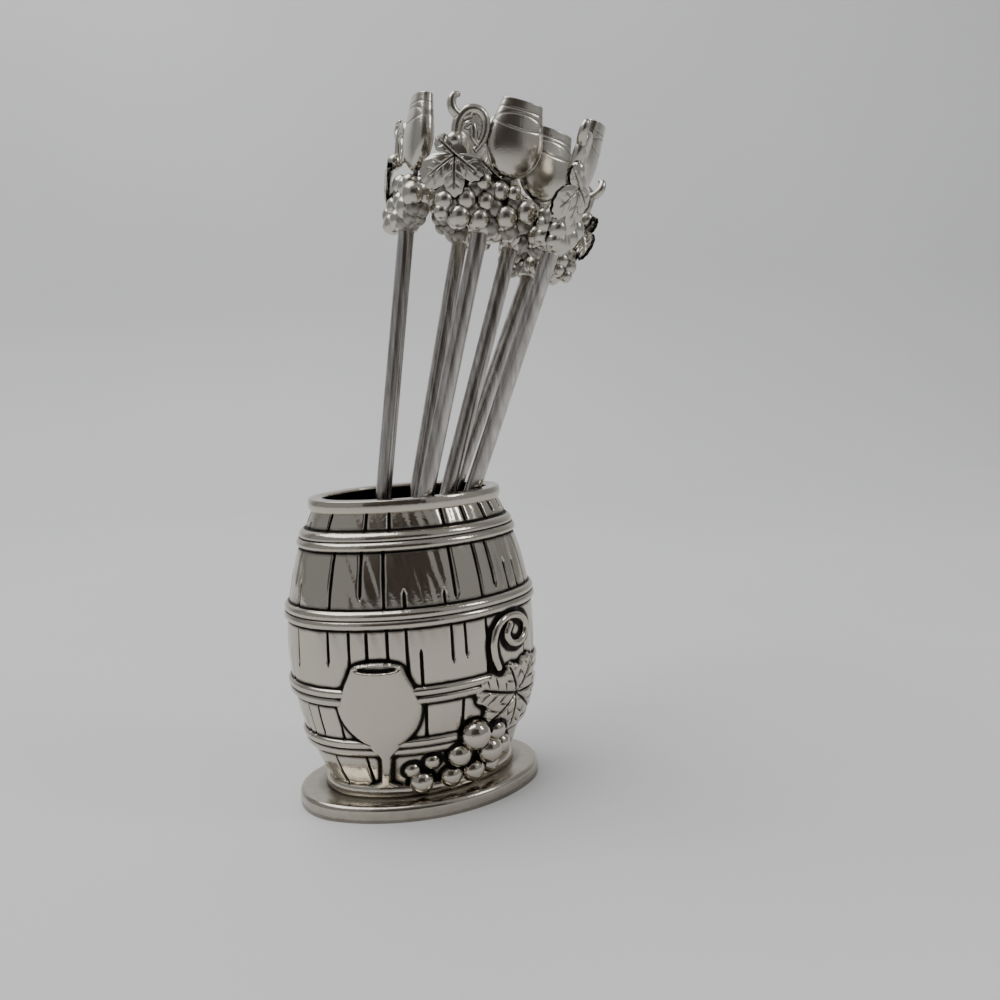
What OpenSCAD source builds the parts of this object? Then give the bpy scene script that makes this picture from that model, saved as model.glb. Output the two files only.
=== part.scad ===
// Oval cast metal barrel on a base plate, holding six long picks with ornamental cast heads.
// The barrel has staves, four hoops and a relief of a wine glass, grapes and a vine leaf.
// Origin: centre of the base plate's underside. X runs along the oval, the front faces -Y.

/* [Holder] */
// Height from the table to the rim
holder_h = 50; // [46:1:58]
// Width of the base plate
base_w = 40.8; // [38:0.2:50]
// Depth of the base plate
base_d = 28.6; // [27:0.2:34]
// Thickness of the base plate
base_t = 2.6; // [2:0.1:3.4]
// Rounding of the base plate's upper edge
base_round = 0.9; // [0.4:0.1:1.4]

/* [Barrel] */
// Width over the staves at the belly
belly_w = 41; // [40:0.5:46]
// Width over the staves at the two ends
end_w = 28.6; // [28:0.2:31]
// How much less deep than wide the barrel is
oval_drop = 10; // [9:0.5:10.5]
// Wall thickness
wall = 1.6; // [1.2:0.1:1.8]
// Width of the mouth
mouth_w = 27.2; // [26:0.2:27.6]
// Width over the rim
rim_w = 31.8; // [31:0.2:35]
// Height of the rim
rim_h = 1.9; // [1.4:0.1:2.6]
// Width over the foot ring
foot_w = 32; // [31:0.2:35]
// Height of the foot ring
foot_h = 1.8; // [1.2:0.1:2.4]

/* [Hoops] */
// Height of the top hoop above the table
hoop_1_z = 44; // [43:0.5:45]
// Height of the second hoop above the table
hoop_2_z = 32.5; // [31:0.5:34]
// Height of the third hoop above the table
hoop_3_z = 20.4; // [19:0.2:22]
// Height of the bottom hoop above the table
hoop_4_z = 11.7; // [10.5:0.1:13]
// Distance between the two beads of a hoop
bead_pitch = 1.3; // [1:0.1:1.4]
// Radius of a hoop's bead
bead_r = 0.75; // [0.7:0.05:0.9]

/* [Relief] */
// How far the leaf stands out of the staves
relief_h = 1.1; // [0.7:0.1:1.5]
// Height of the wine glass
glass_h = 21.5; // [19:0.5:23]
// Width of its bowl
glass_w = 12; // [10:0.2:13]
// Length of a lobe of the leaf
leaf_r = 9; // [7:0.2:9.6]
// Ring of the tendril, to the middle of its strand
ring_r = 2.1; // [1.8:0.1:2.6]
// Radius of the tendril's strand
strand_r = 0.65; // [0.5:0.05:0.8]

/* [Picks] */
// Diameter of a shaft
shaft_d = 2.6; // [2.2:0.1:2.8]
// Length of a shaft from its point to the head's collar
shaft_l = 89.5; // [86:0.5:110]
// Length of the shaft's taper
taper_l = 9; // [6:0.5:12]
// Diameter of the blunt point
point_d = 0.6; // [0.4:0.1:1]
// Gap between a resting point and the floor
rest_gap = 0.4; // [0.3:0.1:0.8]
// Depth of the head's socket
socket_l = 4; // [3:0.5:5]
// Diameter of the head's collar
collar_d = 3.7; // [3.6:0.1:4.2]
// Size of a head against its drawn size
head_scale = 0.93; // [0.9:0.01:0.95]

/* [Hidden] */
$fn = 64;

silver = "#b9b6b0";
dull_silver = "#96938e";
steel = "#a8a39b";
// Room left above a shaft in its socket
slack = 0.1;
// Steps round the oval
turns = 60;
// How far past a grape's middle the staves cut it
grape_sink = 1.2;
// Length of stave left between a hoop's bead and the next point of the outline
hoop_clear = 0.4;
// The same beside the rim and the foot ring
band_clear = 0.1;
// Length over which the inside widens below the mouth
mouth_slope = 1;

// Each pick: where its point rests on the floor, where its axis crosses the rim's plane,
// and how far its head is turned about the shaft.
PICKS = [
    [[-10, 3], [-2.8, 3.1], -90],
    [[-7.5, 5], [4, 6], -142],
    [[-10.5, -3.5], [1.5, -6.4], -5],
    [[-8.5, -1.5], [7, -1.4], 2],
    [[-12, -0.3], [9.9, 3.4], 120],
    [[-4.8, 6.6], [10.6, -3.2], 58]];

// The staves bend to one arc, whose centre lies past the axis.
half_l = (holder_h - base_t) / 2;
belly_z = base_t + half_l;
sag = (belly_w - end_w) / 2;
arc_r = (half_l * half_l + sag * sag) / (2 * sag);
arc_c = belly_w / 2 - arc_r;

// An oval is drawn by four arcs that meet where the end arcs have turned by join_a.
join_a = 50;
function arc_step(drop) = drop / 2 / (cos(join_a) + sin(join_a) - 1);
end_x = arc_step(oval_drop) * cos(join_a);
side_y = arc_step(oval_drop) * sin(join_a);
side_grow = arc_step(oval_drop) - end_x;

function stave_r(z) = arc_c + sqrt(arc_r * arc_r - (z - belly_z) * (z - belly_z));
function front_y(x, a) =
    abs(x) < (a + side_grow) * cos(join_a)
        ? side_y - sqrt(pow(a + side_grow, 2) - x * x)
        : -sqrt(pow(a - end_x, 2) - pow(abs(x) - end_x, 2));
function front(x, z) = [x, front_y(x, stave_r(z)), z];
function lobes(a, n, notch) = notch + (1 - notch) * pow(abs(cos(a * n / 2)), 0.8);

// Sweeps a half section, drawn at its distance from the middle of the long axis, round an oval
module oval_sweep(drop) {
    c = arc_step(drop);
    x = c * cos(join_a);
    y = c * sin(join_a);
    for (s = [0, 1]) {
        translate([x - 2 * s * x, 0, 0])
            rotate_extrude(angle = 2 * join_a, start = 180 * s - join_a, $fn = 120)
                translate([-x, 0]) children();
        translate([0, y - 2 * s * y, 0])
            rotate_extrude(angle = 180 - 2 * join_a, start = 180 + join_a - 180 * s, $fn = 120)
                translate([c - x, 0]) children();
    }
}

// Outline points, each at its distance from the middle of the long axis and its height
function stave_pts(grow, low, high, n) =
    [for (i = [0 : n]) let (z = low + (high - low) * i / n) [stave_r(z) + grow, z]];
function tilt(z) = asin((z - belly_z) / arc_r);
function bead_pts(z, turns) =
    [for (q = turns) [stave_r(z) + bead_r * cos(tilt(z) + q), z + bead_r * sin(tilt(z) + q)]];
// A hoop of two half-round beads with a valley between them
function hoop_pts(z) =
    let (valley = sqrt(bead_r * bead_r - bead_pitch * bead_pitch / 4))
    concat(
        bead_pts(z - bead_pitch / 2, [-80, -30, 20]),
        [[stave_r(z) + valley * cos(tilt(z)), z + valley * sin(tilt(z))]],
        bead_pts(z + bead_pitch / 2, [-20, 30, 80]));
// The bulging outer face of a band of width w
function band_pts(w, z, h) = [for (q = [-30 : 20 : 30]) [w / 2 - h + h * cos(q), z + h / 2 + h * sin(q)]];
// The staves between two hoops
hoop_half = bead_pitch / 2 + bead_r;
function span_pts(low, high, n) =
    stave_pts(0, low + hoop_half + hoop_clear, high - hoop_half - hoop_clear, n);

SHELL = concat(
    band_pts(foot_w, base_t, foot_h),
    stave_pts(0, base_t + foot_h + band_clear, hoop_4_z - hoop_half - hoop_clear, 2),
    hoop_pts(hoop_4_z),
    span_pts(hoop_4_z, hoop_3_z, 2),
    hoop_pts(hoop_3_z),
    span_pts(hoop_3_z, hoop_2_z, 3),
    hoop_pts(hoop_2_z),
    span_pts(hoop_2_z, hoop_1_z, 3),
    hoop_pts(hoop_1_z),
    stave_pts(0, hoop_1_z + hoop_half + hoop_clear, holder_h - rim_h - band_clear, 1),
    band_pts(rim_w, holder_h - rim_h, rim_h),
    [[mouth_w / 2, holder_h], [mouth_w / 2, holder_h - rim_h]],
    stave_pts(-wall, holder_h - rim_h - mouth_slope, base_t, 6));

// Places a point of an outline on the oval, t degrees round from +X
function oval_pt(a, t) =
    let (
        q = acos(abs(cos(t))),
        x = q <= join_a ? end_x + (a - end_x) * cos(q) : (a + side_grow) * cos(q),
        y = q <= join_a ? (a - end_x) * sin(q) : (a + side_grow) * sin(q) - side_y)
    [cos(t) < 0 ? -x : x, sin(t) < 0 ? -y : y];

// Sweeps an outline, given anticlockwise, round the barrel's oval
module oval_solid(outline) {
    n = len(outline);
    polyhedron(
        points = [for (i = [0 : turns - 1]) for (p = outline) concat(oval_pt(p.x, 360 * i / turns), p.y)],
        faces = [for (i = [0 : turns - 1]) for (j = [0 : n - 1])
            let (k = (i + 1) % turns, m = (j + 1) % n)
            [i * n + j, i * n + m, k * n + m, k * n + j]]);
}

// Half outline of a tulip glass of height h: a foot, a stem and a bowl
widest = 0.42;
function bowl_w(t, w, lip) =
    t < widest
        ? w * sqrt(1 - pow(1 - t / widest, 2))
        : w * (lip + (1 - lip) * cos((t - widest) / (1 - widest) * 90));
module glass_section(w, h, bowl_h, lip, foot) {
    stem = w * 0.09;
    steps = 12;
    polygon(concat(
        [[0, 0], [foot, 0], [foot, h * 0.03], [stem, h * 0.08]],
        [for (i = [0 : steps]) [max(stem, bowl_w(i / steps, w / 2, lip)), h - bowl_h * (1 - i / steps)]],
        [[0, h]]));
}

module leaf_outline(r) {
    polygon([for (a = [0 : 7.5 : 359]) r * lobes(a, 5, 0.6) * [cos(a), sin(a)]]);
}

// A patch of metal that stands out of the staves by relief_h, under an outline seen from turn
cut_t = 10;
module relief_patch(at, turn) {
    low = base_t + foot_h / 2;
    high = holder_h - rim_h;
    intersection() {
        oval_solid(concat(stave_pts(relief_h, low, high, 12), stave_pts(-wall / 2, high, low, 8)));
        translate(front(at.x, at.y)) rotate([90, 0, turn]) linear_extrude(cut_t, center = true) children();
    }
}

// Wine glass on the front: a bowl, a stem and a foot
glass_at = [-9, base_t + foot_h + 0.6];
glass_turn = -20;
bowl_h = 14;
bowl_lip = 0.72;
glass_foot = 2.6;
module glass_relief() {
    relief_patch(glass_at, glass_turn)
        for (m = [0, 1])
            mirror([m, 0]) glass_section(glass_w, glass_h, bowl_h, bowl_lip, glass_foot);
}

// Bunch of grapes: x, z and radius on the front
GRAPES = [
    [-3, 5, 1.8], [-4.6, 7.4, 1.2], [-1.6, 8.6, 1.2], [1.7, 5.2, 1.7], [2.6, 9.1, 1.8],
    [5.4, 5.2, 1.8], [5, 12.3, 2.2], [8, 8.4, 2], [9, 5, 1.5], [10.6, 8.4, 1.6], [9.4, 11.6, 1.5]];
module grape_relief() {
    for (g = GRAPES) {
        out = max(0, g.z - grape_sink);
        translate(front(g.x, g.y) + out * [sin(2 * g.x), -cos(2 * g.x), 0]) sphere(r = g.z, $fn = 16);
    }
}

// Vine leaf wrapped round the right end, and the ring of its tendril above it
leaf_at = [12, 17.4];
leaf_turn = 32;
module leaf_relief() {
    relief_patch(leaf_at, leaf_turn) rotate(18) leaf_outline(leaf_r);
}

// Tendril: points on the front, joined by rounded strands
ring_at = [13.4, 27.4];
TENDRIL = concat(
    [[9.6, 22.6], [8.9, 24.4], [8.8, 26.4], [9.6, 28.4]],
    [for (a = [150 : -30 : -180]) ring_at + ring_r * [cos(a), sin(a)]]);
module tendril_relief() {
    for (i = [1 : len(TENDRIL) - 1])
        hull() {
            translate(front(TENDRIL[i - 1].x, TENDRIL[i - 1].y)) sphere(r = strand_r, $fn = 8);
            translate(front(TENDRIL[i].x, TENDRIL[i].y)) sphere(r = strand_r, $fn = 8);
        }
}

module barrel_body() {
    color(silver) {
        oval_solid(SHELL);
        glass_relief();
        grape_relief();
        leaf_relief();
        tendril_relief();
    }
}

// A rim ring with a rounded upper edge, filled by a block
module base_plate() {
    plug_w = base_w * 0.7;
    plug_d = base_d * 0.55;
    ring_in = base_w * 0.32;
    color(silver) {
        oval_sweep(base_w - base_d) polygon(concat(
            [[ring_in, 0], [base_w / 2, 0]],
            [for (a = [0 : 15 : 90])
                [base_w / 2 - base_round * (1 - cos(a)), base_t - base_round * (1 - sin(a))]],
            [[ring_in, base_t]]));
        translate([-plug_w / 2, -plug_d / 2, 0]) cube([plug_w, plug_d, base_t]);
    }
}

// Stands its children on a pick's axis, with the head's turn; Z runs up the shaft from the point
module on_pick(i) {
    p = PICKS[i];
    tip = [p[0].x, p[0].y, base_t + rest_gap];
    mouth = [p[1].x, p[1].y, holder_h];
    d = (mouth - tip) / norm(mouth - tip);
    side = cross([0, 1, 0], d);
    ux = side / norm(side);
    uy = cross(d, ux);
    multmatrix([
        [ux.x, uy.x, d.x, tip.x],
        [ux.y, uy.y, d.y, tip.y],
        [ux.z, uy.z, d.z, tip.z],
        [0, 0, 0, 1]])
        rotate([0, 0, p[2]]) children();
}

module pick_shaft(i) {
    top = shaft_l + socket_l - slack;
    color(steel) on_pick(i) rotate_extrude($fn = 48)
        polygon([[0, 0], [point_d / 2, 0], [shaft_d / 2, taper_l], [shaft_d / 2, top], [0, top]]);
}

// Grapes of a head: x, z and radius; each has a fellow on the back
HEAD_GRAPES = [
    [-7.1, 3.5, 1.4], [-3.7, 4.6, 1.7], [-7.4, 1.6, 1.2], [-4.2, 1.1, 1.9], [-1.5, 8.2, 1.4],
    [-0.4, 5, 1.5], [-0.6, 1.6, 1.7], [1.7, 7.2, 1.5], [3.5, 3.4, 1.9], [4, 7.6, 1.1], [6.7, 5.1, 2]];
grape_front = -1.5;
grape_back = 1.2;
module head_grapes() {
    for (g = HEAD_GRAPES) {
        translate([g.x, grape_front, g.y]) sphere(r = g.z, $fn = 32);
        translate([g.x * 0.94, grape_back, g.y + 0.2]) sphere(r = g.z, $fn = 32);
    }
}

// A flattened wine glass with a shallow cup in its mouth
head_glass_at = [2.7, 0, 7.6];
head_glass_w = 9.6;
head_glass_h = 14.6;
head_bowl_h = 12.2;
head_bowl_lip = 0.7;
head_glass_foot = 1.6;
head_glass_flat = 0.5;
cup_r = 2.6;
cup_depth = 2;
module head_glass() {
    translate(head_glass_at) scale([1, head_glass_flat, 1]) rotate_extrude($fn = 48)
        difference() {
            glass_section(head_glass_w, head_glass_h, head_bowl_h, head_bowl_lip, head_glass_foot);
            translate([0, head_glass_h - cup_depth]) square([cup_r, cup_depth + 1]);
        }
}

// A leaf cut from a thin dome, facing front and left, and the knob of its stem
head_leaf_at = [-6.3, -1.9, 9];
head_leaf_turn = -30;
head_leaf_r = 5.6;
head_leaf_t = 0.9;
dome_r = 9;
knob_at = [-7.5, -1.4, 13.6];
knob_r = 1.5;
module head_leaf() {
    translate(head_leaf_at) rotate([90, 0, head_leaf_turn])
        intersection() {
            linear_extrude(dome_r, center = true) rotate(18) leaf_outline(head_leaf_r);
            translate([0, 0, -dome_r]) difference() {
                sphere(r = dome_r + head_leaf_t, $fn = 96);
                sphere(r = dome_r, $fn = 96);
            }
        }
    translate(knob_at) sphere(r = knob_r, $fn = 32);
}

// A closed loop of the tendril and the hook at its end
loop_at = [-5, -0.6, 16.2];
loop_r = 2.7;
loop_strand_r = 0.85;
hook_at = [-8.1, -0.6, 18.9];
hook_r = 1.5;
hook_strand_r = 0.7;
hook_start = 60;
hook_sweep = 230;
module head_tendril() {
    translate(loop_at) rotate([90, 0, 0])
        rotate_extrude($fn = 48) translate([loop_r, 0]) circle(r = loop_strand_r, $fn = 24);
    translate(hook_at) rotate([90, 0, 0]) rotate([0, 0, hook_start])
        rotate_extrude(angle = hook_sweep, $fn = 48)
            translate([hook_r, 0]) circle(r = hook_strand_r, $fn = 24);
}

// The lump of metal behind the grapes
core_at = [-0.9, 0, 5.6];
core_r = 7.4;
core_flat = [1, 0.36, 0.72];
module head_core() {
    translate(core_at) scale(core_flat) sphere(r = core_r, $fn = 48);
}

// The collar is bored for the shaft, and all below its end face is cut off
below_d = 30;
below_h = 4;
module pick_head(i) {
    color(dull_silver) on_pick(i) translate([0, 0, shaft_l]) difference() {
        union() {
            cylinder(d = collar_d, h = socket_l + 1, $fn = 48);
            scale(head_scale) {
                head_core();
                head_grapes();
                head_glass();
                head_leaf();
                head_tendril();
            }
        }
        translate([0, 0, -below_h]) cylinder(d = shaft_d, h = socket_l + below_h, $fn = 48);
        translate([0, 0, -below_h]) cylinder(d = below_d, h = below_h, $fn = 48);
    }
}

barrel_body();
base_plate();
pick_shaft(0);  // pick_1_shaft
pick_shaft(1);  // pick_2_shaft
pick_shaft(2);  // pick_3_shaft
pick_shaft(3);  // pick_4_shaft
pick_shaft(4);  // pick_5_shaft
pick_shaft(5);  // pick_6_shaft
pick_head(0);  // pick_1_head
pick_head(1);  // pick_2_head
pick_head(2);  // pick_3_head
pick_head(3);  // pick_4_head
pick_head(4);  // pick_5_head
pick_head(5);  // pick_6_head
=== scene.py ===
"""An oval metal barrel with six loose picks: the visual pieces, materials, light and camera.

All sizes are in millimetres and become metres when a mesh is made. The barrel is one swept oval
whose wall is raised and cut by height functions; the six heads share one modelled casting.
"""

import bpy
import numpy as np
from mathutils import Matrix, Vector
from mathutils.bvhtree import BVHTree


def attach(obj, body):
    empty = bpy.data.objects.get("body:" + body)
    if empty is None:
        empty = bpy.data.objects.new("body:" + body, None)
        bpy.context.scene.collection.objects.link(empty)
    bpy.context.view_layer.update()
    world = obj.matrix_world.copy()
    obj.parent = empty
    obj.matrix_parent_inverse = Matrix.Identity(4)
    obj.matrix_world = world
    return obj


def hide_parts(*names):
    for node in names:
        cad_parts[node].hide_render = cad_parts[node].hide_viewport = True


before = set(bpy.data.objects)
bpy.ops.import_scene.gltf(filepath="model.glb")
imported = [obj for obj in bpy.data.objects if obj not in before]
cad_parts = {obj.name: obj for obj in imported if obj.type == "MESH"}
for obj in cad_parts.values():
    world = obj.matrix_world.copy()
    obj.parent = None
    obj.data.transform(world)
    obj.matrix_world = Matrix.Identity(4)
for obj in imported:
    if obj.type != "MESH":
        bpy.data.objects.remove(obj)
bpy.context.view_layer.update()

MM = 0.001
RNG = np.random.default_rng(7)

# Barrel: the same four-arc oval and stave arc as the solid
HOLDER_H, BASE_T = 50.0, 2.6
BELLY_W, END_W, OVAL_DROP = 41.0, 28.6, 10.0
WALL, MOUTH_W = 1.6, 27.2
RIM_W, RIM_H, FOOT_W, FOOT_H = 31.8, 1.9, 32.0, 1.8
BASE_W, BASE_D, BASE_ROUND = 40.8, 28.6, 0.9
HOOPS = [44.0, 32.5, 20.4, 11.7]
BEAD_PITCH, BEAD_R = 1.3, 0.75
HOOP_RISE = 0.88
JOIN_A = np.radians(50.0)
BELLY_Z = (HOLDER_H + BASE_T) / 2
HALF_L = (HOLDER_H - BASE_T) / 2
SAG = (BELLY_W - END_W) / 2
ARC_R = (HALF_L**2 + SAG**2) / (2 * SAG)
ARC_C = BELLY_W / 2 - ARC_R

# Picks: point on the floor, crossing of the rim plane, turn of the head
PICKS = [
    ((-10, 3), (-2.8, 3.1), -90),
    ((-7.5, 5), (4, 6), -142),
    ((-10.5, -3.5), (1.5, -6.4), -5),
    ((-8.5, -1.5), (7, -1.4), 2),
    ((-12, -0.3), (9.9, 3.4), 120),
    ((-4.8, 6.6), (10.6, -3.2), 58),
]
REST_GAP, SHAFT_L, COLLAR_D, HEAD_SCALE = 0.4, 89.5, 3.7, 0.93


# Numbers and meshes
def smooth(low, high, x):
    t = np.clip((x - low) / (high - low), 0, 1)
    return t * t * (3 - 2 * t)


def stave_r(z):
    return ARC_C + np.sqrt(ARC_R**2 - (z - BELLY_Z) ** 2)


def oval(a, t, drop=OVAL_DROP):
    """Point of a four-arc oval of half width a, at the normal's angle t in radians."""
    step = drop / 2 / (np.cos(JOIN_A) + np.sin(JOIN_A) - 1)
    end_x, side_y = step * np.cos(JOIN_A), step * np.sin(JOIN_A)
    grow = step - end_x
    q = np.arccos(np.abs(np.cos(t)))
    at_end = q <= JOIN_A
    x = np.where(at_end, end_x + (a - end_x) * np.cos(q), (a + grow) * np.cos(q))
    y = np.where(at_end, (a - end_x) * np.sin(q), (a + grow) * np.sin(q) - side_y)
    return np.where(np.cos(t) < 0, -x, x), np.where(np.sin(t) < 0, -y, y)


def grid_faces(rows, cols, wrap_rows=False, wrap_cols=False):
    r = np.arange(rows if wrap_rows else rows - 1)
    c = np.arange(cols if wrap_cols else cols - 1)
    i, j = np.meshgrid(r, c, indexing="ij")
    k, m = (i + 1) % rows, (j + 1) % cols
    return np.stack([i * cols + j, i * cols + m, k * cols + m, k * cols + j], -1).reshape(-1, 4)


class Casting:
    """Collects surfaces of one piece, each with a cavity value from 0, bright, to 1, black; the value holds
    patina in the hollows and painted shade.
    """

    def __init__(self):
        self.points, self.faces, self.cav, self.count = [], [], [], 0

    def add(self, points, faces, cav=0.0):
        points = np.asarray(points, float).reshape(-1, 3)
        self.points.append(points)
        self.faces.append(np.asarray(faces) + self.count)
        self.cav.append(np.broadcast_to(cav, len(points)).astype(float))
        self.count += len(points)

    def arrays(self):
        return np.vstack(self.points), np.vstack(self.faces), np.concatenate(self.cav)

    def mesh(self, name, cav=None):
        points, faces, own = self.arrays()
        mesh = bpy.data.meshes.new(name)
        mesh.from_pydata((points * MM).tolist(), [], faces.tolist())
        mesh.validate()
        attribute = mesh.attributes.new("cav", "FLOAT", "POINT")
        attribute.data.foreach_set("value", np.asarray(own if cav is None else cav, np.float32))
        mesh.polygons.foreach_set("use_smooth", [True] * len(mesh.polygons))
        return mesh


def add_piece(name, mesh, material, body, node):
    piece = bpy.data.objects.new(name, mesh)
    bpy.context.scene.collection.objects.link(piece)
    mesh.materials.append(material)
    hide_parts(node)
    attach(piece, body)


def ball(centre, radii, n=12):
    """A rounded box of quads blown up to an ellipsoid."""
    s = np.linspace(-1, 1, n)
    u, v = np.meshgrid(s, s, indexing="ij")
    one = np.ones_like(u)
    sides = [(u, v, one), (v, u, -one), (one, u, v), (-one, v, u), (v, one, u), (u, -one, v)]
    points, faces = [], []
    for k, side in enumerate(sides):
        p = np.tan(np.stack(side, -1) * np.pi / 4)
        p = p / np.linalg.norm(p, axis=-1, keepdims=True)
        points.append(p.reshape(-1, 3))
        faces.append(grid_faces(n, n) + k * n * n)
    return np.vstack(points) * np.asarray(radii) + np.asarray(centre), np.vstack(faces)


def spline(points, n):
    """A smooth curve through points."""
    p = np.asarray(points, float)
    p = np.vstack([2 * p[0] - p[1], p, 2 * p[-1] - p[-2]])
    out = []
    for i in range(1, len(p) - 2):
        for s in np.linspace(0, 1, n, endpoint=False):
            a, b, c, d = p[i - 1 : i + 3]
            out.append(
                0.5 * (2 * b + (c - a) * s + (2 * a - 5 * b + 4 * c - d) * s**2
                       + (3 * b - a - 3 * c + d) * s**3))
    return np.array(out + [p[-2]])


def tube(path, radius, sides=16):
    """A strand along a path; radius is one value or one for each point."""
    path = np.asarray(path, float)
    radius = np.broadcast_to(radius, len(path))
    along = np.gradient(path, axis=0)
    along /= np.linalg.norm(along, axis=1, keepdims=True)
    side = np.cross(along, [0.0, -1.0, 0.0])
    side /= np.linalg.norm(side, axis=1, keepdims=True)
    up = np.cross(side, along)
    a = np.linspace(0, 2 * np.pi, sides, endpoint=False)
    ring = np.cos(a)[None, :, None] * side[:, None, :] + np.sin(a)[None, :, None] * up[:, None, :]
    faces = grid_faces(len(path), sides, wrap_cols=True)
    return path[:, None, :] + radius[:, None, None] * ring, faces[:, ::-1]


def add_strand(casting, path, radius):
    """A tube with a ball on each end."""
    radius = np.broadcast_to(radius, len(path))
    p, f = tube(path, radius)
    casting.add(p, f, 0.0)
    for end in (0, -1):
        p, f = ball(path[end], np.full(3, radius[end]))
        casting.add(p, f[:, ::-1], 0.0)


def blur(field, across, along):
    """Box blur by running sums, twice in each direction."""
    for axis, half in ((0, across), (1, along), (0, across), (1, along)):
        pad = [(0, 0), (0, 0)]
        pad[axis] = (half + 1, half)
        total = np.cumsum(np.pad(field, pad, mode="edge"), axis=axis)
        size = 2 * half + 1
        high = np.take(total, range(size, total.shape[axis]), axis=axis)
        low = np.take(total, range(0, total.shape[axis] - size), axis=axis)
        field = (high - low) / size
    return field


# Relief on the barrel's front, as heights over x and z
GLASS_FOOT_Z, GLASS_BOWL_Z, GLASS_WIDE_Z, GLASS_RIM_Z = 3.4, 12.0, 19.2, 25.2
GRAPES = [
    (-3, 5, 1.8), (-4.6, 7.4, 1.2), (-1.6, 8.6, 1.2), (1.7, 5.2, 1.7), (2.6, 9.1, 1.8),
    (5.4, 5.2, 1.8), (5, 12.3, 2.2), (8, 8.4, 2), (9, 5, 1.5), (10.6, 8.4, 1.6), (9.4, 11.6, 1.5)]
LEAF_STEM = (13.3, 16.9)
# Lobes of a leaf: angle in degrees, length and narrowness
LEAF_LOBES = [(160, 8.6, 2.0), (212, 7.6, 2.0), (258, 6.6, 2.0), (308, 6.0, 2.0), (0, 6.0, 2.0),
              (58, 6.8, 2.0), (108, 6.0, 2.2)]
TENDRIL = [(9.6, 22.4), (8.9, 24.4), (8.8, 26.8), (9.8, 29.0), (11.8, 30.1), (14.2, 29.7), (15.6, 28.2),
           (15.4, 26.4), (13.9, 25.4), (12.2, 25.9), (11.5, 27.4), (12.2, 28.8)]
TENDRIL_R = 0.65
GRAPE_SINK, GRAPE_INSET = 1.2, 0.15
LINE_DEPTH, LINE_WIDE = 0.45, 0.24
# Depth below the blurred surface at which the patina is black
PATINA_DEPTH = 0.15
# Cut lines between the staves: for each zone its lowest and highest z, then angle, start and end as shares
STAVE_ZONES = [
    (45.0, 48.2, [(-150, 0, 1), (-125, 0, 1), (-111, 0, 1), (-80, 0, 1), (-66, 0.2, 1), (-50, 0, 1)]),
    (33.6, 42.9, [(-165, 0, 0.5), (-142, 0, 1), (-126, 0.2, 1), (-114.5, 0, 1), (-105, 0, 0.35),
                  (-86.5, 0, 0.3), (-81, 0.1, 1), (-67, 0, 1), (-58, 0.15, 1), (-48, 0, 0.6)]),
    (21.5, 31.3, [(-164.5, 0.3, 1), (-142.8, 0.4, 1), (-131.8, 0, 1), (-123.2, 0, 1), (-113.7, 0, 1),
                  (-105.1, 0, 1), (-99.1, 0, 0.65), (-84.9, 0.35, 1), (-78.4, 0.4, 1), (-66.9, 0, 1)]),
    (12.9, 19.2, [(-163, 0, 1), (-154, 0.1, 1), (-141, 0, 1), (-98, 0, 1), (-80, 0, 1), (-66, 0, 1)]),
    (4.4, 10.5, [(-152, 0, 1), (-131, 0, 1), (-96, 0, 1), (-60, 0, 1)]),
]
BACK_LINES = range(-40, 190, 12)


def glass_height(x, z):
    middle = -8.3 - 1.45 * smooth(4, 26, z)
    bowl = 6.0 * np.sqrt(np.clip(1 - ((GLASS_WIDE_Z - z) / (GLASS_WIDE_Z - GLASS_BOWL_Z)) ** 2, 0, 1))
    cup = np.where(z > GLASS_WIDE_Z, 6.0 - 2.7 * smooth(18.0, 27.6, z), bowl)
    stem = 0.75 + 2.7 * smooth(5.4, 3.6, z) + 1.6 * smooth(9.8, 12.4, z)
    half = np.where(z > GLASS_BOWL_Z, np.maximum(cup, stem), stem)
    u = (x - middle) / half
    lip = GLASS_RIM_Z + 0.9 * np.sqrt(np.clip(1 - u**2, 0, 1))
    body = np.where((z > GLASS_FOOT_Z) & (z < lip), np.clip(1 - np.abs(u) ** 7, 0, 1) ** 0.6, 0)
    height = body * (0.75 + 0.25 * smooth(9.5, 16, z) + 0.1 * np.clip(1 - u**2, 0, 1))
    mouth = ((x - middle) / 3.2) ** 2 + ((z - GLASS_RIM_Z) / 0.62) ** 2
    return np.where(mouth < 1, height - 0.55 * smooth(1, 0.5, mouth), height)


def lobed(angle, lobes, core):
    """Reach of a lobed outline at an angle in degrees."""
    reach = np.full_like(angle, core)
    for at, length, narrow in lobes:
        off = np.abs((angle - at + 180) % 360 - 180)
        reach = np.maximum(reach, length * np.cos(np.radians(np.clip(off * narrow, 0, 90))) ** 0.5)
    return reach


def veins(angle, r, lobes, wide=0.28, reach=1.0):
    """Depth of the vein grooves, 0 to 1."""
    deep = np.zeros_like(angle)
    for at, length, _ in lobes:
        off = (angle - at + 180) % 360 - 180
        across = np.abs(np.radians(off)) * r
        ribs = np.abs(((r - across * 0.8) % 1.7) - 0.85)
        main = np.exp(-((across / wide) ** 2))
        fine = 0.55 * np.exp(-((ribs / 0.2) ** 2)) * (across < 2.4) * (np.abs(off) < 24)
        deep = np.maximum(deep, np.maximum(main, fine) * smooth(reach, reach - 0.15, r / length))
    return deep


def leaf_height(x, z):
    dx, dz = x - LEAF_STEM[0], z - LEAF_STEM[1]
    r = np.hypot(dx, dz)
    angle = np.degrees(np.arctan2(dz, dx)) % 360
    edge = lobed(angle, LEAF_LOBES, 3.6) * (1 + 0.02 * np.sin(np.radians(angle) * 29))
    body = smooth(1.0, 0.9, r / edge)
    puff = 0.35 * np.sin(np.pi * np.clip(r / edge, 0, 1))
    return body * (0.7 + puff - 0.45 * veins(angle, r, LEAF_LOBES))


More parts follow.
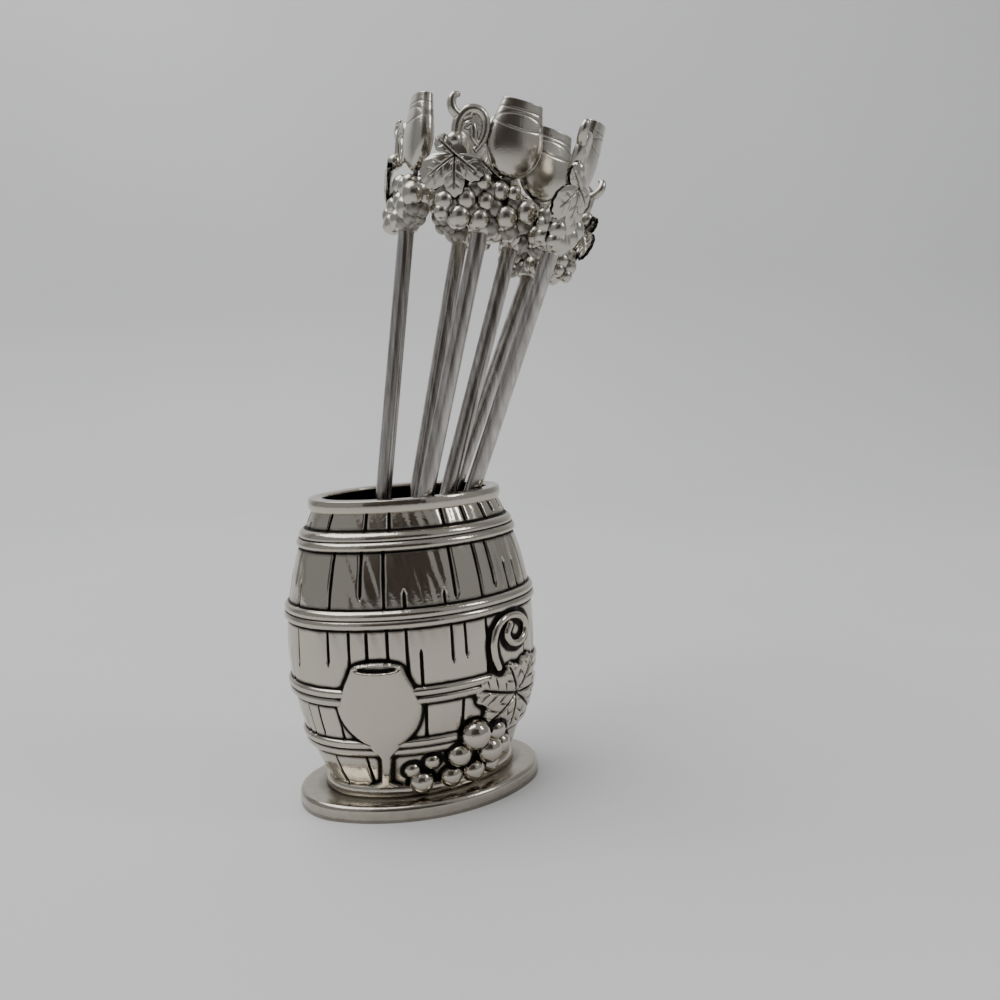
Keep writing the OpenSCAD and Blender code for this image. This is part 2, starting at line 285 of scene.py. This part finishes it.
def stave_lines(x, y, z, a):
    """Depth of the cut lines between staves, 0 to 1."""
    p = np.degrees(np.arctan2(y / (a - OVAL_DROP / 2), x / a))
    deep = np.zeros_like(p)
    for low, high, lines in STAVE_ZONES:
        back = [(at + RNG.uniform(-3, 3), *RNG.choice([(0, 1), (0, 0.6), (0.35, 1)])) for at in BACK_LINES]
        share = (z - low) / (high - low)
        for at, start, end in lines + back:
            off = np.abs((p - at + 180) % 360 - 180)
            ends = smooth(start - 0.03, start + 0.1, share) * smooth(end + 0.03, end - 0.1, share)
            wide = LINE_WIDE * ends + 1e-3
            inside = (share > start - 0.03) & (share < end + 0.03)
            deep = np.maximum(deep, inside * np.exp(-((np.radians(off) * a * 0.85 / wide) ** 2)))
    return deep


def front_point(x, z, out):
    """A point on the front wall, lifted out by out."""
    ts = np.radians(np.linspace(-180, 0, 721))
    xs, ys = oval(stave_r(z), ts)
    k = np.argmin(np.abs(xs - x))
    normal = np.array([np.cos(ts[k]), np.sin(ts[k]), 0.0])
    return np.array([xs[k], ys[k], z]) + out * normal


def barrel_mesh():
    casting = Casting()
    turn = np.radians(np.concatenate([
        np.linspace(-195, 15, 660, endpoint=False), np.linspace(15, 165, 220, endpoint=False)]))
    z = np.linspace(BASE_T + FOOT_H, HOLDER_H - RIM_H, 340)
    t_grid, z_grid = np.meshgrid(turn, z, indexing="ij")
    a = stave_r(z_grid)
    x, y = oval(a, t_grid)
    hoop = np.zeros_like(a)
    for at in HOOPS:
        for side in (-0.5, 0.5):
            dz = (z_grid - at - side * BEAD_PITCH) / BEAD_R
            hoop = np.maximum(hoop, HOOP_RISE * BEAD_R * np.sqrt(np.clip(1 - dz**2, 0, 1)))
    front = (y < 0).astype(float)
    relief = front * np.maximum(glass_height(x, z_grid), leaf_height(x, z_grid))
    lines = LINE_DEPTH * stave_lines(x, y, z_grid, a) * (hoop < 0.02) * (relief < 0.05)
    wave = 0.05 * np.sin(3.1 * x + 0.4 * z_grid) * np.sin(0.33 * z_grid + 0.5 * x)
    height = np.maximum(hoop, relief) - lines + wave * (hoop < 0.02) * (relief < 0.05)
    forms = np.maximum(hoop, relief)
    cav = np.clip((blur(forms, 5, 4) - forms) / PATINA_DEPTH, 0, 1)
    cav = np.maximum(cav, smooth(0.12, 0.3, lines))
    strand = np.array([(px, pz) for px, pz in spline(TENDRIL, 4)])
    for px, pz in strand:
        cav = np.maximum(cav, front * smooth(TENDRIL_R + 1.2, TENDRIL_R + 0.5, np.hypot(x - px, z_grid - pz)))
    a_out = a + height
    x, y = oval(a_out, t_grid)
    for gx, gz, gr in GRAPES:
        near = np.hypot(x - gx, z_grid - gz) * np.where(y < 0, 1, 99)
        cav = np.maximum(cav, smooth(gr + 1.1, gr + 0.5, near))
    wall_faces = grid_faces(len(turn), len(z), wrap_rows=True)[:, ::-1]
    casting.add(np.stack([x, y, z_grid], -1), wall_faces, cav.ravel())

    def ring_band(section, dark):
        aa, zz = np.array(section).T
        tt, sa = np.meshgrid(turn, aa, indexing="ij")
        px, py = oval(sa, tt)
        pz = np.broadcast_to(zz, px.shape)
        shade = np.broadcast_to(dark, px.shape)
        casting.add(np.stack([px, py, pz], -1), grid_faces(len(turn), len(aa), wrap_rows=True)[:, ::-1],
                    shade.ravel())

    def bulge(w, z0, h):
        q = np.radians(np.linspace(-30, 30, 14))
        return [(w / 2 - h + h * np.cos(v), z0 + h / 2 + h * np.sin(v)) for v in q]

    def crisp(section, soft=0.12):
        """The section with two close points at each corner, so that smooth shading keeps it sharp."""
        points = [np.array(v, float) for v in section]
        out = [points[0]]
        for before, at, after in zip(points, points[1:], points[2:]):
            for other in (before, after):
                step = other - at
                out.append(at + step * min(0.3, soft / max(np.linalg.norm(step), 1e-6)))
        return out + [points[-1]]

    rim_z = HOLDER_H - RIM_H
    ring_band(crisp([(stave_r(BASE_T) - WALL, BASE_T)] + bulge(FOOT_W, BASE_T, FOOT_H)
                    + [(stave_r(BASE_T + FOOT_H) - 0.05, BASE_T + FOOT_H)]), 0.05)
    ring_band(crisp([(stave_r(rim_z) - 0.05, rim_z)] + bulge(RIM_W, rim_z, RIM_H)
                    + [(MOUTH_W / 2, HOLDER_H), (MOUTH_W / 2, HOLDER_H - 0.4)]), 0.0)
    # Painted shade: the inside of the mouth and the inner wall are black.
    inner = [(stave_r(v) - WALL, v) for v in np.linspace(rim_z - 1, BASE_T, 30)]
    ring_band(crisp([(MOUTH_W / 2, HOLDER_H - 0.4), (MOUTH_W / 2, rim_z)] + inner), 1.0)
    for gx, gz, gr in GRAPES:
        centre = front_point(gx, gz, max(0.0, gr - GRAPE_SINK) - GRAPE_INSET)
        p, f = ball(centre, np.array([1.12, 1.05, 1.12]) * gr, 16)
        depth = (centre[1] - p[:, 1]) / gr
        casting.add(p, f[:, ::-1], smooth(0.3, -0.1, depth))
    add_strand(casting, spline([front_point(px, pz, 0.15) for px, pz in TENDRIL], 8), TENDRIL_R)
    return casting.mesh("barrel")


def base_mesh():
    casting = Casting()
    turn = np.linspace(0, 2 * np.pi, 360, endpoint=False)
    q = np.linspace(0, np.pi / 2, 10)
    section = [(0.6 * BASE_W / 2 + 0.4, 0)] + [(BASE_W / 2, 0)] + [
        (BASE_W / 2 - BASE_ROUND * (1 - np.cos(v)), BASE_T - BASE_ROUND * (1 - np.sin(v))) for v in q]
    section += [(v, BASE_T) for v in (18.0, 16.4, 15.2, 13.0)]
    aa, zz = np.array(section).T
    tt, sa = np.meshgrid(turn, aa, indexing="ij")
    px, py = oval(sa, tt, BASE_W - BASE_D)
    pz = np.broadcast_to(zz, px.shape)
    # Painted shade: the top darkens under and just around the barrel's foot and is black inside it; elsewhere
    # a tone of 0.22.
    dark = np.where((sa < 17.2) & (pz > BASE_T - 0.01), smooth(17.2, 15.6, sa), 0.22)
    rings = np.stack([px, py, pz], -1)
    casting.add(rings, grid_faces(len(turn), len(aa), wrap_rows=True)[:, ::-1], dark.ravel())
    # Painted shade: the underside cap is grey and the top cap inside the barrel is black.
    for column, flip, shade in ((0, -1, 0.3), (-1, 1, 1.0)):
        edge = rings[:, column]
        cap = np.stack([edge, edge * (0.01, 0.01, 1)])
        casting.add(cap, grid_faces(2, len(turn), wrap_cols=True)[:, ::flip], shade)
    return casting.mesh("base")


# One head, in its own frame: Z up the shaft from the collar, the front towards -Y
HEAD_GRAPES = [
    (-7.1, 3.5, 1.5), (-3.7, 4.6, 1.7), (-7.2, 1.7, 1.2), (-4.2, 1.7, 1.8), (-1.5, 8.0, 1.5), (-0.4, 5, 1.5),
    (-0.8, 2.0, 1.7), (1.7, 7.2, 1.5), (3.5, 3.4, 1.9), (4, 7.4, 1.3), (6.7, 5.1, 1.9)]
# Darker grapes that close the gaps between the others
HEAD_FILL = [(-2.1, 3.2, 1.5), (1.4, 4.4, 1.6), (1.4, 1.5, 1.5), (4.9, 1.8, 1.4), (-5.6, 3.0, 1.5),
             (-5.4, 5.9, 1.5), (-2.4, 6.6, 1.5), (4.4, 5.8, 1.5), (6.4, 3.0, 1.4), (0.2, 7.0, 1.4),
             (-7.4, 5.2, 1.2)]
GRAPE_FRONT, GRAPE_BACK = -1.25, 0.9
FILL_FRONT, FILL_BACK, FILL_SHADE = -0.75, 0.5, 0.45
HEAD_GLASS_X = 2.7
HEAD_LEAF = [(150, 4.4, 2.0), (226, 7.0, 1.9), (281, 6.4, 2.6), (336, 5.8, 2.1)]
HEAD_LEAF_STEM = (-6.9, -2.1, 10.6)
HEAD_LOOP = [(-6.6, 12.6), (-7.3, 14.6), (-7.2, 16.6), (-6.2, 18.2), (-4.6, 18.7), (-3.2, 17.9), (-2.6, 16.2),
             (-2.8, 14.3), (-3.6, 12.6)]
HEAD_CURL = [(-3.4, 13.4), (-4.2, 14.2), (-4.5, 15.4), (-5.0, 16.2), (-5.7, 15.6)]
HEAD_HOOK = [(-5.6, 17.6), (-6.9, 17.0), (-8.2, 17.5), (-8.9, 18.6), (-8.8, 19.8), (-8.2, 20.2)]


def head_glass(casting):
    """A flattened tulip glass with a lip band, and the line of the wine drawn on its faces."""
    zs = np.concatenate([np.linspace(7.6, 9.6, 6), np.linspace(9.8, 22.0, 90)])
    bowl = 4.8 * np.sqrt(np.clip(1 - ((15.4 - zs) / 5.7) ** 2, 0, 1))
    wide = np.where(zs > 15.4, 4.8 - 1.4 * smooth(15.0, 23.2, zs), bowl)
    wide = np.maximum(wide, 0.8)
    inside = [(0.86, 22.1), (0.8, 21.7), (0.76, 21.3), (0.4, 21.3), (0.02, 21.3)]
    radius = np.concatenate([wide, [wide[-1] * k for k, _ in inside]])
    height = np.concatenate([zs, [z for _, z in inside]])
    # Painted shade: the stem darkens towards its foot, where it goes in among the grapes.
    dark = np.concatenate([0.8 * smooth(10.6, 9.0, zs), [0.0, 0.1, 0.3, 0.2, 0.2]])
    a = np.linspace(0, 2 * np.pi, 112, endpoint=False)
    x = radius[:, None] * np.cos(a)
    flat = np.sign(np.sin(a)) * np.abs(np.sin(a)) ** 0.75
    y = 0.46 * radius[:, None] * flat
    z = np.broadcast_to(height[:, None], x.shape)
    ring = (x / (radius[:, None] * 0.99)) ** 2 + ((z - 18.6) / 1.25) ** 2
    line = np.exp(-(((ring - 1) / 0.22) ** 2)) * (z > 17.0) * (z < 20.0)
    band = np.exp(-(((z - 20.5) / 0.16) ** 2))
    groove = np.maximum(line, band)
    groove[len(zs):] = 0
    y = y * (1 - 0.05 * groove)
    shade = np.maximum(np.repeat(dark, len(a)), 0.55 * groove.ravel())
    faces = grid_faces(len(height), len(a), wrap_cols=True)
    casting.add(np.stack([HEAD_GLASS_X + x, y, z], -1), faces, shade)


def head_leaf(casting):
    """A veined leaf that fans down from its stem and bends back at its edges."""
    steps, rings = 260, 30
    angle = np.linspace(0, 360, steps, endpoint=False)
    edge = lobed(angle, HEAD_LEAF, 2.0) * (1 + 0.02 * np.sin(np.radians(angle) * 31))
    u = np.linspace(0.02, 1, rings)[:, None]
    r = u * edge[None, :]
    ang = np.broadcast_to(angle, r.shape)
    px, pz = r * np.cos(np.radians(ang)), r * np.sin(np.radians(ang))
    deep = veins(ang, r, HEAD_LEAF, 0.2, 0.85)
    puff = 0.35 * np.sin(np.pi * np.clip(u, 0, 1)) * (edge / 6)[None, :]
    out = 0.5 + puff - 0.016 * r**2 - 0.3 * deep
    turn = np.radians(-30)
    shade = np.clip(0.75 * deep + 0.2 * smooth(0.15, 0.0, u), 0, 1)
    sx, sy, sz = HEAD_LEAF_STEM
    for lift, flip in ((0.0, -1), (-0.6, 1)):
        lifted = out + lift
        x = sx + px * np.cos(turn) + lifted * np.sin(turn)
        y = sy + px * np.sin(turn) * 0.6 - lifted * np.cos(turn)
        casting.add(np.stack([x, y, sz + pz], -1), grid_faces(rings, steps, wrap_cols=True)[:, ::flip],
                    shade.ravel())


def head_mesh():
    casting = Casting()
    # Painted shade: a black core between the front and back grapes, seen through the gaps.
    p, f = ball((-0.6, 0, 5.2), (6.4, 1.5, 4.4), 20)
    casting.add(p, f[:, ::-1], 1.0)
    for gx, gz, gr in HEAD_GRAPES:
        for x, y, z in ((gx, GRAPE_FRONT, gz), (gx * 0.94, GRAPE_BACK, gz + 0.2)):
            p, f = ball((x, y, z), np.array([1.02, 1.0, 1.12]) * gr)
            casting.add(p, f[:, ::-1], 0.0)
    for gx, gz, gr in HEAD_FILL:
        for y in (FILL_FRONT, FILL_BACK):
            p, f = ball((gx, y, gz), np.array([1.0, 1.0, 1.12]) * gr)
            casting.add(p, f[:, ::-1], FILL_SHADE)
    head_glass(casting)
    head_leaf(casting)
    p, f = ball((-7.4, -1.3, 12.9), (1.4, 1.3, 1.5))
    casting.add(p, f[:, ::-1], 0.0)
    for strand, thick in ((HEAD_LOOP, 0.9), (HEAD_CURL, 0.75), (HEAD_HOOK, 0.8)):
        path = spline([(x, -0.6, z) for x, z in strand], 8)
        add_strand(casting, path, thick * np.sin(np.linspace(0.9, 2.5, len(path))))
    a = np.linspace(0, 2 * np.pi, 40, endpoint=False)
    zs = np.array([0.0, 0.0, 0.3, 4.6])
    rs = np.array([1.35, COLLAR_D / 2 - 0.2, COLLAR_D / 2, COLLAR_D / 2]) / HEAD_SCALE
    casting.add(np.stack([rs[:, None] * np.cos(a), rs[:, None] * np.sin(a),
                          np.broadcast_to(zs[:, None], (4, 40))], -1), grid_faces(4, 40, wrap_cols=True), 0.1)
    points, faces, own = casting.arrays()
    # Painted shade: each vertex darkens by how enclosed it is, on top of its own value.
    return casting.mesh("head", np.maximum(own, hollow(points, faces)))


def hollow(points, faces):
    """How enclosed each vertex is, 0 to 1, by short rays to its own surface; it is painted into the colour as
    shade.
    """
    tree = BVHTree.FromPolygons(points.tolist(), faces.tolist())
    normals = np.zeros_like(points)
    p = points[faces]
    n = np.cross(p[:, 2] - p[:, 0], p[:, 3] - p[:, 1])
    for k in range(4):
        np.add.at(normals, faces[:, k], n)
    normals /= np.maximum(np.linalg.norm(normals, axis=1, keepdims=True), 1e-9)
    rays = RNG.normal(size=(14, 3))
    rays /= np.linalg.norm(rays, axis=1, keepdims=True)
    hits = np.zeros(len(points))
    for v in range(len(points)):
        normal = normals[v]
        start = Vector(points[v] + normal * 0.06)
        for ray in rays:
            d = ray + normal * 1.05
            if tree.ray_cast(start, Vector(d), 1.6)[0] is not None:
                hits[v] += 1
    return smooth(0.3, 0.8, hits / len(rays))


def pick_frame(pick):
    """Matrix of a pick's head, in metres."""
    (tx, ty), (mx, my), turn = pick
    tip = np.array([tx, ty, BASE_T + REST_GAP])
    d = np.array([mx, my, HOLDER_H]) - tip
    d /= np.linalg.norm(d)
    ux = np.cross([0.0, 1.0, 0.0], d)
    ux /= np.linalg.norm(ux)
    uy = np.cross(d, ux)
    matrix = Matrix((ux, uy, d)).transposed().to_4x4()
    matrix.translation = (tip + SHAFT_L * d) * MM
    return matrix @ Matrix.Rotation(np.radians(turn), 4, "Z") @ Matrix.Scale(HEAD_SCALE, 4), d


# Materials
def node_material(name):
    material = bpy.data.materials.new(name)
    material.use_nodes = True
    tree = material.node_tree
    return material, tree, tree.nodes["Principled BSDF"]


def link(tree, a, b):
    tree.links.new(a, b)


def ramp(tree, source, stops):
    node = tree.nodes.new("ShaderNodeValToRGB")
    elements = node.color_ramp.elements
    while len(elements) < len(stops):
        elements.new(0.5)
    for element, (at, colour) in zip(elements, stops):
        element.position = at
        element.color = (*colour, 1)
    link(tree, source, node.inputs["Fac"])
    return node.outputs["Color"]


def noise(tree, scale, detail, vector=None):
    node = tree.nodes.new("ShaderNodeTexNoise")
    node.inputs["Scale"].default_value = scale
    node.inputs["Detail"].default_value = detail
    if vector is None:
        coordinates = tree.nodes.new("ShaderNodeTexCoord")
        vector = coordinates.outputs["Object"]
    link(tree, vector, node.inputs["Vector"])
    return node.outputs["Fac"]


def math_node(tree, kind, a, b):
    node = tree.nodes.new("ShaderNodeMath")
    node.operation = kind
    for socket, value in zip(node.inputs, (a, b)):
        if isinstance(value, float):
            socket.default_value = value
        else:
            link(tree, value, socket)
    return node.outputs[0]


def silver(name, bright, dark, rough, dark_rough, grain):
    """Plated metal, bright where it is rubbed and black where the cavity value is high, which holds patina in
    the hollows and painted shade.
    """
    material, tree, shader = node_material(name)
    shader.inputs["Metallic"].default_value = 1.0
    cav = tree.nodes.new("ShaderNodeAttribute")
    cav.attribute_name = "cav"
    mottle = math_node(tree, "MULTIPLY", noise(tree, grain, 5.0), 0.24)
    # Patina and painted shade: the cavity value, with a mottle of wear, darkens the base colour.
    patina_wear_and_painted_shade = math_node(tree, "ADD", cav.outputs["Fac"], math_node(tree, "SUBTRACT", mottle, 0.12))
    link(tree, ramp(tree, patina_wear_and_painted_shade, [(0.12, bright), (0.5, tuple(0.5 * (a + b) for a, b in zip(bright, dark))),
                                 (0.85, dark)]), shader.inputs["Base Color"])
    link(tree, ramp(tree, patina_wear_and_painted_shade, [(0.1, (rough,) * 3), (0.8, (dark_rough,) * 3)]), shader.inputs["Roughness"])
    bump = tree.nodes.new("ShaderNodeBump")
    bump.inputs["Strength"].default_value = 0.12
    bump.inputs["Distance"].default_value = 0.0002
    link(tree, noise(tree, grain * 2.2, 3.0), bump.inputs["Height"])
    link(tree, bump.outputs["Normal"], shader.inputs["Normal"])
    return material


def steel(name, axis):
    """Polished rod with streaks that run along the shaft."""
    material, tree, shader = node_material(name)
    shader.inputs["Metallic"].default_value = 1.0
    coordinates = tree.nodes.new("ShaderNodeTexCoord")
    mapping = tree.nodes.new("ShaderNodeMapping")
    turn = Vector(axis).rotation_difference(Vector((0, 0, 1))).to_euler()
    mapping.inputs["Rotation"].default_value = turn
    mapping.inputs["Scale"].default_value = (1400, 1400, 45)
    link(tree, coordinates.outputs["Object"], mapping.inputs["Vector"])
    streak = noise(tree, 1.0, 4.0, mapping.outputs["Vector"])
    link(tree, ramp(tree, streak, [(0.3, (0.30, 0.28, 0.26)), (0.7, (0.62, 0.59, 0.56))]),
         shader.inputs["Base Color"])
    link(tree, ramp(tree, streak, [(0.2, (0.16,) * 3), (0.8, (0.3,) * 3)]), shader.inputs["Roughness"])
    return material


def floor_material():
    material, tree, shader = node_material("floor")
    link(tree, ramp(tree, noise(tree, 6.0, 3.0), [(0.3, (0.80, 0.80, 0.80)), (0.7, (0.84, 0.84, 0.84))]),
         shader.inputs["Base Color"])
    shader.inputs["Roughness"].default_value = 0.6
    return material


# Pieces
polished = silver("polished_cast", (0.54, 0.50, 0.43), (0.012, 0.011, 0.01), 0.11, 0.5, 900.0)
antique = silver("antique_cast", (0.54, 0.51, 0.45), (0.012, 0.011, 0.010), 0.2, 0.55, 1400.0)

add_piece("barrel", barrel_mesh(), polished, "holder", "barrel_body")
add_piece("base", base_mesh(), polished, "holder", "base_plate")

head_data = head_mesh()
for number, pick in enumerate(PICKS, 1):
    matrix, axis = pick_frame(pick)
    data = head_data.copy()
    data.transform(matrix)
    add_piece(f"head_{number}", data, antique, f"pick_{number}", f"pick_{number}_head")
    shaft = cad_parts[f"pick_{number}_shaft"]
    shaft.data.materials.clear()
    shaft.data.materials.append(steel(f"shaft_steel_{number}", axis))

# Floor that turns up into a wall behind, light and camera
VIEW_X, VIEW_Y = 0.357, 0.934
COVE_AT, COVE_R, WALL_TOP, HALF_SPAN = 0.36, 0.12, 1.6, 2.5


def cove():
    bend = np.linspace(0, np.pi / 2, 16)
    profile = [(-2.5, 0.0)] + [(COVE_AT + COVE_R * np.sin(v), COVE_R * (1 - np.cos(v))) for v in bend]
    profile.append((COVE_AT + COVE_R, WALL_TOP))
    points = [(d * VIEW_X + side * VIEW_Y, d * VIEW_Y - side * VIEW_X, h)
              for d, h in profile for side in (-HALF_SPAN, HALF_SPAN)]
    mesh = bpy.data.meshes.new("floor")
    mesh.from_pydata(points, [], grid_faces(len(profile), 2).tolist())
    mesh.polygons.foreach_set("use_smooth", [True] * len(mesh.polygons))
    mesh.materials.append(floor_material())
    return stage_object("floor", mesh)


def stage_object(name, data):
    made = bpy.data.objects.new(name, data)
    bpy.context.scene.collection.objects.link(made)
    return made


cove()

world = bpy.data.worlds.new("studio")
bpy.context.scene.world = world
world.use_nodes = True
world.node_tree.nodes["Background"].inputs["Color"].default_value = (0.96, 0.98, 1.0, 1)
world.node_tree.nodes["Background"].inputs["Strength"].default_value = 0.36


def area_light(name, place, aim, size, power):
    data = bpy.data.lights.new(name, "AREA")
    data.shape = "RECTANGLE"
    data.size, data.size_y = size
    data.energy = power
    light = bpy.data.objects.new(name, data)
    bpy.context.scene.collection.objects.link(light)
    light.location = place
    light.rotation_euler = (Vector(aim) - Vector(place)).to_track_quat("-Z", "Y").to_euler()


def card(name, centre, half_w, half_h, colour):
    """A panel that only shows in reflections, facing the object from behind the camera."""
    x, y, z = centre
    mesh = bpy.data.meshes.new(name)
    mesh.from_pydata([(x + s * half_w * VIEW_Y, y - s * half_w * VIEW_X, z + v * half_h)
                      for s, v in ((-1, -1), (1, -1), (1, 1), (-1, 1))], [], [(0, 1, 2, 3)])
    material, tree, shader = node_material(name)
    link(tree, ramp(tree, noise(tree, 9.0, 2.0), [(0.35, colour), (0.65, tuple(2.2 * c for c in colour))]),
         shader.inputs["Base Color"])
    mesh.materials.append(material)
    panel = stage_object(name, mesh)
    panel.visible_camera = False
    panel.visible_shadow = False


card("dark_card", (-0.08, -0.5, 0.32), 0.3, 0.23, (0.035, 0.027, 0.022))
area_light("overhead", (-0.25, 0.1, 0.75), (0.05, 0.05, 0.0), (0.7, 0.6), 4.2)
area_light("window", (0.42, -0.3, 0.42), (0, 0, 0.04), (0.12, 0.2), 0.5)

CAMERA_AT = (-43.349, -156.323, 70.857)
CAMERA_ROWS = ((0.93086053, -0.36260552, -0.04489884), (0.09299228, 0.11628197, 0.98885335),
               (-0.35334275, -0.9246598, 0.14196181))
camera_data = bpy.data.cameras.new("camera")
camera_data.sensor_width = 36.0
camera_data.lens = 36.0
camera_data.clip_start = 0.005
camera = bpy.data.objects.new("camera", camera_data)
bpy.context.scene.collection.objects.link(camera)
placed = Matrix(CAMERA_ROWS).transposed().to_4x4()
placed.translation = Vector(CAMERA_AT) * MM
camera.matrix_world = placed
bpy.context.scene.camera = camera
